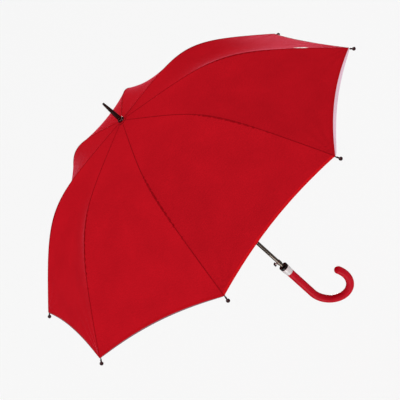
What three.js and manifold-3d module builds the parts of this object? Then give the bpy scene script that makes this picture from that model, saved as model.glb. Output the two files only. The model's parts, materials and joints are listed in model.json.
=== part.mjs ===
// A stick umbrella with eight two-piece ribs and a sprung runner, shown open. Units are millimetres.
// The origin is on the shaft's axis at the middle of the grip's straight part. +Z runs up the shaft to
// the ferrule, and +X points to the side on which the crook of the handle opens.
// Each rib, stretcher and gore is built in a spoke frame: X outwards, Y sideways, Z up, at azimuth 0.

import * as THREE from "three";
import { mergeVertices } from "three/addons/utils/BufferGeometryUtils.js";
import Module from "manifold-3d";

const wasm = await Module();
wasm.setup();

// Driving dimensions of the whole umbrella
const RIB_COUNT = 8;
const RIB_STEP = (2 * Math.PI) / RIB_COUNT;
const FIRST_RIB_AZIMUTH = THREE.MathUtils.degToRad(17.5);
const APEX_Z = 690;
const RUNNING_GAP = 0.3;

// Sides of round pieces, and how far a cutting shape reaches past what it cuts
const LARGE_SIDES = 24;
const HUB_SIDES = 16;
const SMALL_SIDES = 12;
const PIN_SIDES = { thick: 8, thin: 6 };
const CUT_MARGIN = 2;
const NEEDLE_RADIUS = 0.01;

// Canopy: the drop below the apex grows slowly at the top, bends near mid-rib and ends steep
const CANOPY_CORNER_RADIUS = 516;
const CANOPY_TOP_SLOPE = 0.124;
const CANOPY_EDGE_SLOPE = 1.02;
const CANOPY_BEND_RADIUS = 300;
const CANOPY_BEND_WIDTH = 47;
const CANOPY_HOLE_RADIUS = 6.5;
const CANOPY_THICKNESS = 0.6;
const CANOPY_SEAM_GAP = 0.5;
const GORE_SAG = 16;
const EDGE_SCALLOP = 13;
const GORE_COLUMNS = 5;
const GORE_ROWS = 8;

// Ribs, stretchers and their pivots
const PIVOT_RADIUS = 8.5;
const NOTCH_PIVOT_DROP = 8;
const ELBOW_RADIUS = 262;
const RIB_CLEARANCE = 5;
const TIP_RADIUS = 523;
const TIP_DROP = 269;
const RIB_WIDTH = 2.6;
const RIB_HEIGHT = 2.4;
const OUTER_RIB_RADIUS = 1.4;
const ELBOW_PIN_RADIUS = 0.8;
const ELBOW_BOSS_RADIUS = 2.2;
const ELBOW_PIN_END = 0.2;
const ELBOW_BLADE_LENGTH = 18;
const FORK_LENGTH = 16;
const FORK_BRIDGE = 2;
const OUTER_RIB_FORK_HEIGHT = 3.4;
const STRETCHER_FORK_HEIGHT = 3;
const BAR_OVERLAP = 2;
const RIB_STEPS = 6;
const ROD_STEPS = 8;
const INNER_CHEEKS = { near: 1.1, far: 1.9 };
const OUTER_CHEEKS = { near: 2.2, far: 3.2 };
const EYE_THICKNESS = 1.2;
const EYE_RADIUS = 1.9;
const EYE_HOLE_RADIUS = 0.8;
const EYE_PLATE_HEIGHT = 3.2;
const EYE_PLATE_LENGTH = 10;
const WIRE_RADIUS = 0.5;
const SMALL_PIN_RADIUS = 1.5;
const TIP_BALL_RADIUS = 4.75;
const TIP_SLEEVE_RADIUS = 2.2;
const TIP_SLEEVE_LENGTH = 12;
const TIP_SLEEVE_DEPTH = 9;
const TIP_WALL = 2.5;
const TIP_BALL_STEPS = 5;

// Shaft, ferrule and what slides on the shaft
const SHAFT_RADIUS = 5;
const SHAFT_BORE_RADIUS = 4.2;
const SHAFT_TOP_DROP = 3;
const SHAFT_BOTTOM_Z = -42;
const SLOT_WIDTH = 2.8;
const HUB_RADIUS = 11;
const HUB_HALF_HEIGHT = 3.2;
const HUB_CORE_RADIUS = 6.6;
const HUB_SLOT_WIDTH = 1.9;
const NOTCH_SKIRT = 6;
const RUNNER_SLEEVE_RADIUS = 7.2;
const RUNNER_BORE_RADIUS = 5.5;
const RUNNER_LENGTH = 57;
const RUNNER_FLANGE_RADIUS = 10;
const RUNNER_FLANGE_HEIGHT = 3;
const RUNNER_TAPER = 3;
const RUNNER_SLOT_DROP = 4;
const PLUNGER_PIN_DROP = 30;
const PLUNGER_PIN_RADIUS = 1;
const PLUNGER_RADIUS = 3.9;
const PLUNGER_HALF_LENGTH = 6;
const PLUNGER_PIN_END = 1;
const PIN_HOLE_END = 0.6;
const SPRING_TURNS = 24;
const SPRING_COIL_RADIUS = 3.2;
const SPRING_WIRE_RADIUS = 0.4;
const SPRING_WIRE_SIDES = 3;
const SPRING_STEPS_PER_TURN = 6;
const SPRING_STOP_LENGTH = 10;
const END_GAP = 1;
const RUNNER_TRAVEL = 425;
const SLOT_END = 2;

// Handle end
const CUP_RIM_Z = 81.5;
const CUP_RADIUS = 12.15;
const COLLAR_TOP_Z = 74.5;
const COLLAR_BOTTOM_Z = 53.5;
const COLLAR_TOP_RADIUS = 12;
const COLLAR_BOTTOM_RADIUS = 10.7;
const CUP_DEPTH = 3;
const CUP_WALL = { foot: 0.4, rim: 1.2, floor: 1.8 };
const GRIP_RADIUS = 10.5;
const GRIP_SIDES = 14;
const GRIP_STEPS = 26;
const GRIP_END_INSET = 0.2;
const GRIP_BEND_Z = -41;
const CROOK_RADIUS = 55.7;
const CROOK_SWEEP = THREE.MathUtils.degToRad(206);
const CATCH_Z = 98;
const CATCH_RING = { wall: 1, below: 6, above: 5 };
const CATCH_RING_SIDES = 20;
const CATCH_GUIDE = { wall: 1.2, inner: -5.6, outer: -8.6 };
const BUTTON_CAP_SIZE = 8.7;
const BUTTON_CAP_INNER = 10.8;
const BUTTON_CAP_THICKNESS = 4;
const BUTTON_CAP_BEVEL = 1.2;
const BUTTON_STEM_RADIUS = 2;
const BUTTON_STEM_END = -7.4;

// Ferrule end
const FERRULE_TOP_Z = 755;
const FERRULE_BASE_RADIUS = 5.9;
const FERRULE_TIP_RADIUS = 2.8;
const FERRULE_BASE_LIFT = 7.1;
const FERRULE_BASE_HEIGHT = 5;
const FERRULE_TIP_BEVEL = { inset: 1, height: 1.6 };
const FERRULE_SIDES = 20;
const SPIGOT_RADIUS = 4;
const SPIGOT_DROP = 28;
const CAP_RADIUS = 9;
const CAP_LIFT = 1.2;
const CAP_RIM_HEIGHT = 2;
const CAP_SHOULDER = { inset: 1.4, height: 4.2 };
const CAP_TOP = { rim: 0.6, height: 5.6 };
const ROSETTE_RADIUS = 13;
const ROSETTE_LIFT = 0.4;
const ROSETTE_THICKNESS = 0.8;

const umbrella = new THREE.Group();

// Colours and finishes

function finish(color, roughness, metalness) {
  return new THREE.MeshStandardMaterial({ color, roughness, metalness });
}

const canopyRed = () => finish(0xb51624, 0.75, 0);
const leatherRed = () => finish(0xb00d22, 0.5, 0);
const darkPlastic = () => finish(0x1c1a1a, 0.4, 0);
const darkWood = () => finish(0x2d0a08, 0.35, 0);
const plumPlastic = () => finish(0x46121c, 0.35, 0);
const gunmetal = () => finish(0x6a625b, 0.35, 0.9);
const steel = () => finish(0x9a9a9c, 0.35, 1);
const chrome = () => finish(0xe1dad9, 0.12, 1);
const fibreglass = () => finish(0x202022, 0.45, 0);

// Shape helpers

function toSolid(geometry) {
  const bare = geometry.index ? geometry.clone() : geometry;
  bare.deleteAttribute("normal");
  bare.deleteAttribute("uv");
  const merged = mergeVertices(bare, 1e-4);
  const mesh = new wasm.Mesh({
    numProp: 3,
    vertProperties: new Float32Array(merged.attributes.position.array),
    triVerts: new Uint32Array(merged.index.array),
  });
  return new wasm.Manifold(mesh);
}

function toGeometry(solid) {
  const mesh = solid.getMesh();
  const geometry = new THREE.BufferGeometry();
  geometry.setAttribute("position", new THREE.BufferAttribute(mesh.vertProperties, 3));
  geometry.setIndex(new THREE.BufferAttribute(mesh.triVerts, 1));
  return geometry;
}

// Joins every geometry in added, then cuts away every geometry in cut
function carve(added, cut = []) {
  let solid = toSolid(added[0]);
  for (const geometry of added.slice(1)) {
    solid = solid.add(toSolid(geometry));
  }
  for (const geometry of cut) {
    solid = solid.subtract(toSolid(geometry));
  }
  return toGeometry(solid);
}

// A turned piece about Z from a list of [radius, z] that closes on itself, wound anticlockwise
function turned(outline, segments) {
  const points = outline.map(([radius, z]) => new THREE.Vector2(radius, z));
  const geometry = new THREE.LatheGeometry(points, segments);
  geometry.rotateX(Math.PI / 2);
  return geometry;
}

function ring(innerRadius, outerRadius, bottom, top, segments) {
  const outline = [
    [innerRadius, bottom],
    [outerRadius, bottom],
    [outerRadius, top],
    [innerRadius, top],
    [innerRadius, bottom],
  ];
  return turned(outline, segments);
}

function box(lengthX, lengthY, lengthZ, x, y, z) {
  return new THREE.BoxGeometry(lengthX, lengthY, lengthZ).translate(x, y, z);
}

function cylinderAlongX(radius, from, to, segments) {
  const geometry = new THREE.CylinderGeometry(radius, radius, to - from, segments);
  return geometry.rotateZ(Math.PI / 2).translate((from + to) / 2, 0, 0);
}

// A cylinder across the spoke, centred on y = 0 at (x, z)
function crossCylinder(radius, length, x, z) {
  const sides = radius < SMALL_PIN_RADIUS ? PIN_SIDES.thin : PIN_SIDES.thick;
  return new THREE.CylinderGeometry(radius, radius, length, sides).translate(x, 0, z);
}

function polygonShape(radius, sides) {
  const shape = new THREE.Shape();
  for (let side = 0; side < sides; side += 1) {
    const angle = ((side + 0.5) / sides) * 2 * Math.PI;
    const x = radius * Math.cos(angle);
    const y = radius * Math.sin(angle);
    if (side === 0) {
      shape.moveTo(x, y);
    } else {
      shape.lineTo(x, y);
    }
  }
  shape.closePath();
  return shape;
}

function rectangleShape(width, height) {
  const shape = new THREE.Shape();
  shape.moveTo(-width / 2, -height / 2);
  shape.lineTo(width / 2, -height / 2);
  shape.lineTo(width / 2, height / 2);
  shape.lineTo(-width / 2, height / 2);
  shape.closePath();
  return shape;
}

function swept(shape, path, steps) {
  return new THREE.ExtrudeGeometry(shape, { steps, extrudePath: path, bevelEnabled: false });
}

function addNode(parent, name, geometry, material) {
  const mesh = new THREE.Mesh(geometry, material);
  mesh.name = name;
  parent.add(mesh);
  return mesh;
}

function spokeGroup(index) {
  const group = new THREE.Group();
  group.rotation.z = FIRST_RIB_AZIMUTH + index * RIB_STEP;
  umbrella.add(group);
  return group;
}

// Canopy and rib lines, as heights in the spoke frame

function canopyDrop(radius) {
  const bend = Math.log1p(Math.exp((radius - CANOPY_BEND_RADIUS) / CANOPY_BEND_WIDTH));
  const atApex = Math.log1p(Math.exp(-CANOPY_BEND_RADIUS / CANOPY_BEND_WIDTH));
  const extraSlope = CANOPY_EDGE_SLOPE - CANOPY_TOP_SLOPE;
  return CANOPY_TOP_SLOPE * radius + extraSlope * CANOPY_BEND_WIDTH * (bend - atApex);
}

const ELBOW_Z = APEX_Z - canopyDrop(ELBOW_RADIUS) - RIB_CLEARANCE;
const NOTCH_PIVOT_Z = APEX_Z - NOTCH_PIVOT_DROP;
const RUNNER_PIVOT_Z = 2 * ELBOW_Z - NOTCH_PIVOT_Z;

const NOTCH_PIVOT = new THREE.Vector3(PIVOT_RADIUS, 0, NOTCH_PIVOT_Z);
const RUNNER_PIVOT = new THREE.Vector3(PIVOT_RADIUS, 0, RUNNER_PIVOT_Z);
const ELBOW = new THREE.Vector3(ELBOW_RADIUS, 0, ELBOW_Z);
const TIP = new THREE.Vector3(TIP_RADIUS, 0, APEX_Z - TIP_DROP);

// The rib lies under the seam. It drops to its pivot near the shaft and to the tip at the edge.
class RibLine extends THREE.Curve {
  constructor(from, to) {
    super();
    this.from = from;
    this.to = to;
  }

  height(radius) {
    return APEX_Z - canopyDrop(radius) - RIB_CLEARANCE;
  }

  getPoint(t, target = new THREE.Vector3()) {
    const radius = THREE.MathUtils.lerp(this.from.x, this.to.x, t);
    const startError = this.from.z - this.height(this.from.x);
    const endError = this.to.z - this.height(this.to.x);
    const z = this.height(radius) + startError * (1 - t) ** 4 + endError * t ** 8;
    return target.set(radius, 0, z);
  }
}

// The stretch of a curve between two of its parameters
class Stretch extends THREE.Curve {
  constructor(curve, start, end) {
    super();
    this.curve = curve;
    this.start = start;
    this.end = end;
  }

  getPoint(t, target = new THREE.Vector3()) {
    return this.curve.getPoint(THREE.MathUtils.lerp(this.start, this.end, t), target);
  }
}

const INNER_RIB_LINE = new RibLine(NOTCH_PIVOT, ELBOW);
const OUTER_RIB_LINE = new RibLine(ELBOW, TIP);

function slopeAt(from, to) {
  return Math.atan2(to.z - from.z, to.x - from.x);
}

// Turns a piece built along +X at the origin so that it points from one spoke point to another
function aim(geometry, from, to) {
  return geometry.rotateY(-slopeAt(from, to)).translate(from.x, 0, from.z);
}

// A thin plate with a round end, along +X from its pivot at the origin
function eyePlate(length) {
  return [
    box(length, EYE_THICKNESS, EYE_PLATE_HEIGHT, length / 2, 0, 0),
    crossCylinder(EYE_RADIUS, EYE_THICKNESS, 0, 0),
  ];
}

// Two cheeks with round ends, joined by a block at the far end, along +X from their pin at the origin
function fork(cheeks, length, height) {
  const width = 2 * cheeks.far;
  const solid = [
    box(length, width, height, length / 2, 0, 0),
    crossCylinder(height / 2, width, 0, 0),
  ];
  const slotLength = length - FORK_BRIDGE;
  const slotHeight = height + CUT_MARGIN;
  const slot = box(slotLength + height, 2 * cheeks.near, slotHeight, (slotLength - height) / 2, 0, 0);
  const hole = crossCylinder(ELBOW_PIN_RADIUS + RUNNING_GAP, width + CUT_MARGIN, 0, 0);
  return { solid, cut: [slot, hole] };
}

function ribInnerGeometry() {
  const barStart = 0.035;
  const barEnd = 1 - ELBOW_BLADE_LENGTH / ELBOW_RADIUS;
  const joinShare = 0.01;
  const bar = new Stretch(INNER_RIB_LINE, barStart, barEnd);
  const afterNotch = INNER_RIB_LINE.getPoint(barStart + joinShare);
  const beforeElbow = INNER_RIB_LINE.getPoint(barEnd - joinShare);
  const bladeLength = ELBOW_BLADE_LENGTH + 2 * BAR_OVERLAP;
  const notchEye = eyePlate(NOTCH_PIVOT.distanceTo(afterNotch));
  const elbowBlade = [
    box(bladeLength, 2 * ELBOW_PIN_RADIUS, RIB_HEIGHT, bladeLength / 2, 0, 0),
    crossCylinder(ELBOW_BOSS_RADIUS, 2 * ELBOW_PIN_RADIUS, 0, 0),
    crossCylinder(ELBOW_PIN_RADIUS, 2 * (OUTER_CHEEKS.far + ELBOW_PIN_END), 0, 0),
  ];
  const added = [swept(rectangleShape(RIB_HEIGHT, RIB_WIDTH), bar, RIB_STEPS)];
  for (const piece of notchEye) {
    added.push(aim(piece, NOTCH_PIVOT, afterNotch));
  }
  for (const piece of elbowBlade) {
    added.push(aim(piece, ELBOW, beforeElbow));
  }
  const eyeHole = crossCylinder(EYE_HOLE_RADIUS, RIB_WIDTH, NOTCH_PIVOT.x, NOTCH_PIVOT.z);
  return carve(added, [eyeHole]);
}

function ribOuterGeometry() {
  const reach = TIP_RADIUS - ELBOW_RADIUS;
  const rodStart = (FORK_LENGTH - 1.5 * BAR_OVERLAP) / reach;
  const rodEnd = 1 - (TIP_WALL + OUTER_RIB_RADIUS) / reach;
  const line = new Stretch(OUTER_RIB_LINE, rodStart, rodEnd);
  const rod = swept(polygonShape(OUTER_RIB_RADIUS, PIN_SIDES.thin), line, ROD_STEPS);
  const forkEnd = OUTER_RIB_LINE.getPoint(rodStart);
  const parts = fork(INNER_CHEEKS, FORK_LENGTH, OUTER_RIB_FORK_HEIGHT);
  const added = [rod];
  for (const piece of parts.solid) {
    added.push(aim(piece, ELBOW, forkEnd));
  }
  const cut = parts.cut.map((piece) => aim(piece, ELBOW, forkEnd));
  return carve(added, cut);
}

// A ball on a sleeve that the end of the rib's rod goes into
function ribTipGeometry() {
  const boreRadius = OUTER_RIB_RADIUS + RUNNING_GAP;
  const sleeveRadius = TIP_SLEEVE_RADIUS;
  const boreEnd = TIP_SLEEVE_LENGTH - TIP_WALL;
  const outline = [
    [0, boreEnd],
    [boreRadius, boreEnd],
    [boreRadius, TIP_SLEEVE_LENGTH - TIP_SLEEVE_DEPTH],
    [sleeveRadius, TIP_SLEEVE_LENGTH - TIP_SLEEVE_DEPTH],
  ];
  const start = Math.PI - Math.asin(sleeveRadius / TIP_BALL_RADIUS);
  for (let step = 0; step <= TIP_BALL_STEPS; step += 1) {
    const angle = start * (1 - step / TIP_BALL_STEPS);
    const radius = step === TIP_BALL_STEPS ? 0 : TIP_BALL_RADIUS * Math.sin(angle);
    outline.push([radius, TIP_SLEEVE_LENGTH + TIP_BALL_RADIUS * Math.cos(angle)]);
  }
  const beforeTip = OUTER_RIB_LINE.getPoint(0.96);
  const geometry = turned(outline, PIN_SIDES.thick).rotateY(Math.PI / 2);
  geometry.translate(-TIP_SLEEVE_LENGTH, 0, 0).rotateY(-slopeAt(beforeTip, TIP));
  return geometry.translate(TIP.x, 0, TIP.z);
}

function stretcherGeometry() {
  const length = ELBOW.distanceTo(RUNNER_PIVOT);
  const barStart = FORK_LENGTH - BAR_OVERLAP;
  const barEnd = length - EYE_PLATE_LENGTH + BAR_OVERLAP;
  const parts = fork(OUTER_CHEEKS, FORK_LENGTH, STRETCHER_FORK_HEIGHT);
  const added = [
    ...parts.solid,
    box(barEnd - barStart, RIB_WIDTH, RIB_HEIGHT, (barEnd + barStart) / 2, 0, 0),
    box(EYE_PLATE_LENGTH, EYE_THICKNESS, EYE_PLATE_HEIGHT, length - EYE_PLATE_LENGTH / 2, 0, 0),
    crossCylinder(EYE_RADIUS, EYE_THICKNESS, length, 0),
  ];
  const cut = [...parts.cut, crossCylinder(EYE_HOLE_RADIUS, RIB_WIDTH, length, 0)];
  return aim(carve(added, cut), ELBOW, RUNNER_PIVOT);
}

// How far the taut gore is drawn in where the canopy bends, from nothing at its seams to most at its middle
function goreSag(radius, across) {
  const bend = 1 / (1 + Math.exp(-(radius - CANOPY_BEND_RADIUS) / CANOPY_BEND_WIDTH));
  return GORE_SAG * 4 * bend * (1 - bend) * 4 * across * (1 - across);
}

// The outward direction of the gore at its middle line
function goreNormal(radius) {
  const bend = 1 / (1 + Math.exp(-(radius - CANOPY_BEND_RADIUS) / CANOPY_BEND_WIDTH));
  const slope = CANOPY_TOP_SLOPE + (CANOPY_EDGE_SLOPE - CANOPY_TOP_SLOPE) * bend;
  const middle = RIB_STEP / 2;
  return new THREE.Vector3(slope * Math.cos(middle), slope * Math.sin(middle), 1).normalize();
}

// The gore between the rib at azimuth 0 and the next one, with a scalloped edge
function goreGeometry() {
  const positions = [];
  const index = [];
  const point = new THREE.Vector3();
  const next = new THREE.Vector3();
  const columns = GORE_COLUMNS + 1;
  const last = { row: GORE_ROWS, column: GORE_COLUMNS };
  for (const side of [0, CANOPY_THICKNESS]) {
    for (let row = 0; row <= GORE_ROWS; row += 1) {
      for (let column = 0; column <= GORE_COLUMNS; column += 1) {
        const across = column / GORE_COLUMNS;
        const edge = CANOPY_CORNER_RADIUS - EDGE_SCALLOP * 4 * across * (1 - across);
        const radius = THREE.MathUtils.lerp(CANOPY_HOLE_RADIUS, edge, row / GORE_ROWS);
        const seam = CANOPY_SEAM_GAP / radius;
        const height = APEX_Z - canopyDrop(radius) - side;
        point.set(radius * Math.cos(seam), radius * Math.sin(seam), height);
        const far = RIB_STEP - seam;
        next.set(radius * Math.cos(far), radius * Math.sin(far), height);
        point.lerp(next, across).addScaledVector(goreNormal(radius), -goreSag(radius, across));
        positions.push(point.x, point.y, point.z);
      }
    }
  }
  const layer = columns * (GORE_ROWS + 1);
  const at = (side, row, column) => side * layer + row * columns + column;
  const quad = (a, b, c, d) => index.push(a, b, c, a, c, d);
  for (let row = 0; row < GORE_ROWS; row += 1) {
    for (let column = 0; column < GORE_COLUMNS; column += 1) {
      quad(at(0, row, column), at(0, row + 1, column), at(0, row + 1, column + 1), at(0, row, column + 1));
      quad(at(1, row, column), at(1, row, column + 1), at(1, row + 1, column + 1), at(1, row + 1, column));
    }
    quad(at(0, row, 0), at(1, row, 0), at(1, row + 1, 0), at(0, row + 1, 0));
    const end = last.column;
    quad(at(0, row, end), at(0, row + 1, end), at(1, row + 1, end), at(1, row, end));
  }
  for (let column = 0; column < GORE_COLUMNS; column += 1) {
    const end = last.row;
    quad(at(0, 0, column), at(0, 0, column + 1), at(1, 0, column + 1), at(1, 0, column));
    quad(at(0, end, column), at(1, end, column), at(1, end, column + 1), at(0, end, column + 1));
  }
  const geometry = new THREE.BufferGeometry();
  geometry.setAttribute("position", new THREE.Float32BufferAttribute(positions, 3));
  geometry.setIndex(index);
  return geometry;
}

function addSpokes() {
  for (let spoke = 0; spoke < RIB_COUNT; spoke += 1) {
    const group = spokeGroup(spoke);
    const number = spoke + 1;
    addNode(group, `rib_inner_${number}`, ribInnerGeometry(), steel());
    addNode(group, `rib_outer_${number}`, ribOuterGeometry(), fibreglass());
    addNode(group, `rib_tip_${number}`, ribTipGeometry(), plumPlastic());
    addNode(group, `stretcher_${number}`, stretcherGeometry(), steel());
    addNode(group, `canopy_panel_${number}`, goreGeometry(), canopyRed());
  }
}

// Hubs: eight radial slots hold the eyes, and a ring of wire with eight straight sides is their pivot

function hubSlots(bottom, top) {
  const slots = [];
  const length = HUB_RADIUS - HUB_CORE_RADIUS + CUT_MARGIN;
  for (let spoke = 0; spoke < RIB_COUNT; spoke += 1) {
    const middle = HUB_CORE_RADIUS + length / 2;
    const slot = box(length, HUB_SLOT_WIDTH, top - bottom, middle, 0, (top + bottom) / 2);
    slots.push(slot.rotateZ(FIRST_RIB_AZIMUTH + spoke * RIB_STEP));
  }
  return slots;
}

function wireRing(radius, height) {
  const cornerRadius = PIVOT_RADIUS / Math.cos(RIB_STEP / 2);
  const geometry = new THREE.TorusGeometry(cornerRadius, radius, PIN_SIDES.thin, RIB_COUNT);
  return geometry.rotateZ(FIRST_RIB_AZIMUTH + RIB_STEP / 2).translate(0, 0, height);
}

function topNotchGeometry() {
  const top = NOTCH_PIVOT_Z + HUB_HALF_HEIGHT;
  const bottom = NOTCH_PIVOT_Z - HUB_HALF_HEIGHT;
  const bore = SHAFT_RADIUS + RUNNING_GAP;
  const outline = [
    [bore, bottom - NOTCH_SKIRT],
    [HUB_CORE_RADIUS, bottom - NOTCH_SKIRT],
    [HUB_CORE_RADIUS, bottom],
    [HUB_RADIUS, bottom],
    [HUB_RADIUS, top],
    [bore, top],
    [bore, bottom - NOTCH_SKIRT],
  ];
  const slots = hubSlots(bottom - CUT_MARGIN, top + CUT_MARGIN);
  const channel = wireRing(WIRE_RADIUS + RUNNING_GAP, NOTCH_PIVOT_Z);
  return carve([turned(outline, HUB_SIDES)], [...slots, channel]);
}

function runnerGeometry() {
  const top = RUNNER_PIVOT_Z + HUB_HALF_HEIGHT;
  const bottom = RUNNER_PIVOT_Z - HUB_HALF_HEIGHT;
  const end = RUNNER_PIVOT_Z - RUNNER_LENGTH;
  const outline = [
    [RUNNER_BORE_RADIUS, end],
    [RUNNER_FLANGE_RADIUS, end],
    [RUNNER_FLANGE_RADIUS, end + RUNNER_FLANGE_HEIGHT],
    [RUNNER_SLEEVE_RADIUS, end + RUNNER_FLANGE_HEIGHT + RUNNER_TAPER],
    [RUNNER_SLEEVE_RADIUS, bottom - RUNNER_TAPER],
    [HUB_RADIUS, bottom],
    [HUB_RADIUS, top],
    [RUNNER_BORE_RADIUS, top],
    [RUNNER_BORE_RADIUS, end],
  ];
  const slots = hubSlots(bottom - RUNNER_SLOT_DROP, top + CUT_MARGIN);
  const channel = wireRing(WIRE_RADIUS + RUNNING_GAP, RUNNER_PIVOT_Z);
  const pinHole = crossCylinder(
    PLUNGER_PIN_RADIUS + RUNNING_GAP,
    2 * (RUNNER_SLEEVE_RADIUS - PIN_HOLE_END),
    0,
    RUNNER_PIVOT_Z - PLUNGER_PIN_DROP,
  );
  return carve([turned(outline, HUB_SIDES)], [...slots, channel, pinHole]);
}

// A plug inside the shaft with a cross pin through the shaft's slots into the runner
function springPlungerGeometry() {
  const middle = RUNNER_PIVOT_Z - PLUNGER_PIN_DROP;
  const plug = turned(
    [
      [0, middle - PLUNGER_HALF_LENGTH],
      [PLUNGER_RADIUS, middle - PLUNGER_HALF_LENGTH],
      [PLUNGER_RADIUS, middle + PLUNGER_HALF_LENGTH],
      [0, middle + PLUNGER_HALF_LENGTH],
    ],
    SMALL_SIDES,
  );
  const pinLength = 2 * (RUNNER_SLEEVE_RADIUS - PLUNGER_PIN_END);
  const pin = crossCylinder(PLUNGER_PIN_RADIUS, pinLength, 0, middle);
  return carve([plug, pin]);
}

class Helix extends THREE.Curve {
  constructor(radius, bottom, top, turns) {
    super();
    this.radius = radius;
    this.bottom = bottom;
    this.top = top;
    this.turns = turns;
  }

  getPoint(t, target = new THREE.Vector3()) {
    const angle = t * this.turns * 2 * Math.PI;
    const z = THREE.MathUtils.lerp(this.bottom, this.top, t);
    return target.set(this.radius * Math.cos(angle), this.radius * Math.sin(angle), z);
  }
}

function openingSpringGeometry() {
  const bottom = SHAFT_BOTTOM_Z + SPRING_STOP_LENGTH + 2 * END_GAP;
  const top = RUNNER_PIVOT_Z - PLUNGER_PIN_DROP - PLUNGER_HALF_LENGTH - END_GAP;
  const coil = new Helix(SPRING_COIL_RADIUS, bottom, top, SPRING_TURNS);
  const wire = polygonShape(SPRING_WIRE_RADIUS, SPRING_WIRE_SIDES);
  return swept(wire, coil, SPRING_TURNS * SPRING_STEPS_PER_TURN);
}

// A plug fixed in the foot of the shaft, which the spring stands on
function springStopGeometry() {
  const radius = SHAFT_BORE_RADIUS - RUNNING_GAP;
  const bottom = SHAFT_BOTTOM_Z + END_GAP;
  const top = bottom + SPRING_STOP_LENGTH;
  return turned([[0, bottom], [radius, bottom], [radius, top], [0, top]], SMALL_SIDES);
}

function shaftTubeGeometry() {
  const top = APEX_Z - SHAFT_TOP_DROP;
  const tube = ring(SHAFT_BORE_RADIUS, SHAFT_RADIUS, SHAFT_BOTTOM_Z, top, LARGE_SIDES);
  const pinOpen = RUNNER_PIVOT_Z - PLUNGER_PIN_DROP;
  const slotTop = pinOpen + SLOT_END;
  const slotBottom = pinOpen - RUNNER_TRAVEL - SLOT_END;
  const slot = box(SLOT_WIDTH, 4 * SHAFT_RADIUS, slotTop - slotBottom, 0, 0, (slotTop + slotBottom) / 2);
  return carve([tube], [slot]);
}

function addShaft() {
  addNode(umbrella, "shaft_tube", shaftTubeGeometry(), gunmetal());
  addNode(umbrella, "top_notch", topNotchGeometry(), darkPlastic());
  addNode(umbrella, "notch_wire", wireRing(WIRE_RADIUS, NOTCH_PIVOT_Z), steel());
  addNode(umbrella, "runner", runnerGeometry(), darkPlastic());
  addNode(umbrella, "runner_wire", wireRing(WIRE_RADIUS, RUNNER_PIVOT_Z), steel());
  addNode(umbrella, "spring_plunger", springPlungerGeometry(), steel());
  addNode(umbrella, "opening_spring", openingSpringGeometry(), steel());
  addNode(umbrella, "spring_stop", springStopGeometry(), darkPlastic());
}

// Ferrule, its cap and the cloth rosette under it

function rosetteGeometry() {
  const hole = SPIGOT_RADIUS + RUNNING_GAP;
  const under = (radius) => APEX_Z - canopyDrop(radius) + ROSETTE_LIFT;
  const top = (radius) => under(radius) + ROSETTE_THICKNESS;
  return turned(
    [
      [hole, under(hole)],
      [ROSETTE_RADIUS, under(ROSETTE_RADIUS)],
      [ROSETTE_RADIUS, top(ROSETTE_RADIUS)],
      [hole, top(hole)],
      [hole, under(hole)],
    ],
    LARGE_SIDES,
  );
}

function ferruleCapGeometry() {
  const hole = SPIGOT_RADIUS + RUNNING_GAP;
  const bottom = APEX_Z + CAP_LIFT;
  return turned(
    [
      [hole, bottom],
      [CAP_RADIUS, bottom],
      [CAP_RADIUS, bottom + CAP_RIM_HEIGHT],
      [CAP_RADIUS - CAP_SHOULDER.inset, bottom + CAP_SHOULDER.height],
      [FERRULE_BASE_RADIUS + CAP_TOP.rim, bottom + CAP_TOP.height],
      [hole, bottom + CAP_TOP.height],
      [hole, bottom],
    ],
    LARGE_SIDES,
  );
}

// The ferrule's spigot passes through the cap, rosette and canopy into the top of the shaft
function ferruleGeometry() {
  const base = APEX_Z + FERRULE_BASE_LIFT;
  return turned(
    [
      [0, APEX_Z - SPIGOT_DROP],
      [SPIGOT_RADIUS, APEX_Z - SPIGOT_DROP],
      [SPIGOT_RADIUS, base],
      [FERRULE_BASE_RADIUS, base],
      [FERRULE_BASE_RADIUS, base + FERRULE_BASE_HEIGHT],
      [FERRULE_TIP_RADIUS, FERRULE_TOP_Z - FERRULE_TIP_BEVEL.height],
      [FERRULE_TIP_RADIUS - FERRULE_TIP_BEVEL.inset, FERRULE_TOP_Z],
      [0, FERRULE_TOP_Z],
    ],
    FERRULE_SIDES,
  );
}

function addFerrule() {
  addNode(umbrella, "top_rosette", rosetteGeometry(), canopyRed());
  addNode(umbrella, "ferrule_cap", ferruleCapGeometry(), darkWood());
  addNode(umbrella, "ferrule", ferruleGeometry(), darkWood());
}

// Handle: a straight grip that runs into a crook with a round end

class CrookLine extends THREE.Curve {
  getPoint(t, target = new THREE.Vector3()) {
    const straight = COLLAR_BOTTOM_Z - RUNNING_GAP - GRIP_BEND_Z;
    const distance = t * (straight + CROOK_RADIUS * CROOK_SWEEP);
    if (distance < straight) {
      return target.set(0, 0, COLLAR_BOTTOM_Z - RUNNING_GAP - distance);
    }
    const angle = Math.PI + (distance - straight) / CROOK_RADIUS;
    const x = CROOK_RADIUS * (1 + Math.cos(angle));
    return target.set(x, 0, GRIP_BEND_Z + CROOK_RADIUS * Math.sin(angle));
  }
}

function handleGripGeometry() {
  const line = new CrookLine();
  const end = line.getPoint(1);
  const body = swept(polygonShape(GRIP_RADIUS, GRIP_SIDES), line, GRIP_STEPS);
  const roundEnd = new THREE.SphereGeometry(GRIP_RADIUS - GRIP_END_INSET, SMALL_SIDES, SMALL_SIDES / 2);
  roundEnd.translate(end.x, end.y, end.z);
  const boreRadius = SHAFT_RADIUS + RUNNING_GAP;
  const boreEnd = SHAFT_BOTTOM_Z - RUNNING_GAP;
  const bore = ring(NEEDLE_RADIUS, boreRadius, boreEnd, COLLAR_BOTTOM_Z + CUT_MARGIN, SMALL_SIDES);
  return carve([body, roundEnd], [bore]);
}

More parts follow.
